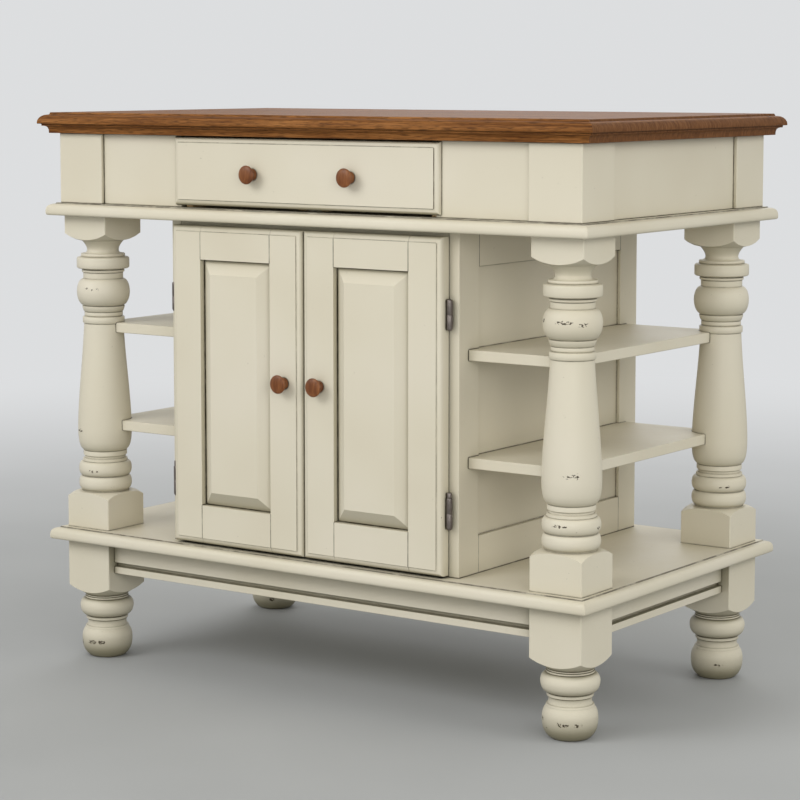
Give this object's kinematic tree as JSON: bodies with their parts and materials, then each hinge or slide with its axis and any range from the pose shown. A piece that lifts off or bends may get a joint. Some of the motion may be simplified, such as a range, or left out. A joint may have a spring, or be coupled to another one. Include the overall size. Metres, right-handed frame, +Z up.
{
  "type": "kitchen island unit",
  "caption": "Free-standing painted kitchen island with an oak worktop, turned corner posts and bun feet, a lipped drawer, panelled doors over a shelved cabinet, and open shelves at both ends",
  "frame": {"origin": "on the floor under the middle of the worktop, which is the centre of the bounding box's underside", "axes": "+X to the right seen from the front, +Y to the back, +Z up; the doors and the drawer face -Y"},
  "size_m": [1.0668, 0.6096, 0.9144],
  "materials": {
    "cream_paint": "satin cream paint with a dark glaze left in the joints and quirks, edges lightly chipped",
    "oak_worktop": "stained oak, satin lacquer",
    "knob_wood": "turned wood, reddish brown stain, satin lacquer",
    "bare_wood": "clear-sealed light wood",
    "pewter_hinge": "dark pewter plating"
  },
  "bodies": {
    "carcass": {"worktop": "oak_worktop", "mid_board": "cream_paint", "base_shelf": "cream_paint", "corner_block_front_left": "cream_paint", "corner_block_front_right": "cream_paint", "corner_block_back_left": "cream_paint", "corner_block_back_right": "cream_paint", "apron_front_left": "cream_paint", "apron_front_right": "cream_paint", "apron_left": "cream_paint", "apron_right": "cream_paint", "apron_back": "cream_paint", "post_front_left": "cream_paint", "post_front_right": "cream_paint", "post_back_left": "cream_paint", "post_back_right": "cream_paint", "foot_front_left": "cream_paint", "foot_front_right": "cream_paint", "foot_back_left": "cream_paint", "foot_back_right": "cream_paint", "base_rail_front": "cream_paint", "base_rail_back": "cream_paint", "base_rail_left": "cream_paint", "base_rail_right": "cream_paint", "shelf_upper_left": "cream_paint", "shelf_upper_right": "cream_paint", "shelf_lower_left": "cream_paint", "shelf_lower_right": "cream_paint", "cabinet_side_left": "cream_paint", "cabinet_side_right": "cream_paint", "cabinet_back": "cream_paint", "face_frame": "cream_paint", "inner_shelf": "bare_wood", "hinge_left_upper_frame_leaf": "pewter_hinge", "hinge_left_lower_frame_leaf": "pewter_hinge", "hinge_right_upper_frame_leaf": "pewter_hinge", "hinge_right_lower_frame_leaf": "pewter_hinge"},
    "drawer": {"drawer_front": "cream_paint", "drawer_side_left": "bare_wood", "drawer_side_right": "bare_wood", "drawer_back": "bare_wood", "drawer_bottom": "bare_wood", "drawer_knob_left": "knob_wood", "drawer_knob_right": "knob_wood"},
    "door_left": {"door_left_stile_outer": "cream_paint", "door_left_stile_inner": "cream_paint", "door_left_rail_top": "cream_paint", "door_left_rail_bottom": "cream_paint", "door_left_panel": "cream_paint", "door_left_knob": "knob_wood", "hinge_left_upper_door_leaf": "pewter_hinge", "hinge_left_lower_door_leaf": "pewter_hinge"},
    "door_right": {"door_right_stile_outer": "cream_paint", "door_right_stile_inner": "cream_paint", "door_right_rail_top": "cream_paint", "door_right_rail_bottom": "cream_paint", "door_right_panel": "cream_paint", "door_right_knob": "knob_wood", "hinge_right_upper_door_leaf": "pewter_hinge", "hinge_right_lower_door_leaf": "pewter_hinge"}
  },
  "joints": [
    {"name": "drawer_slide", "type": "slide", "parent": "carcass", "child": "drawer", "axis": [0, -1, 0], "range_m": [0, 0.33]},
    {"name": "door_left_hinge", "type": "hinge", "parent": "carcass", "child": "door_left", "pos_m": [-0.2675, -0.269, 0.48], "axis": [0, 0, -1], "range_deg": [0, 130]},
    {"name": "door_right_hinge", "type": "hinge", "parent": "carcass", "child": "door_right", "pos_m": [0.2675, -0.269, 0.48], "axis": [0, 0, 1], "range_deg": [0, 130]}
  ]
}
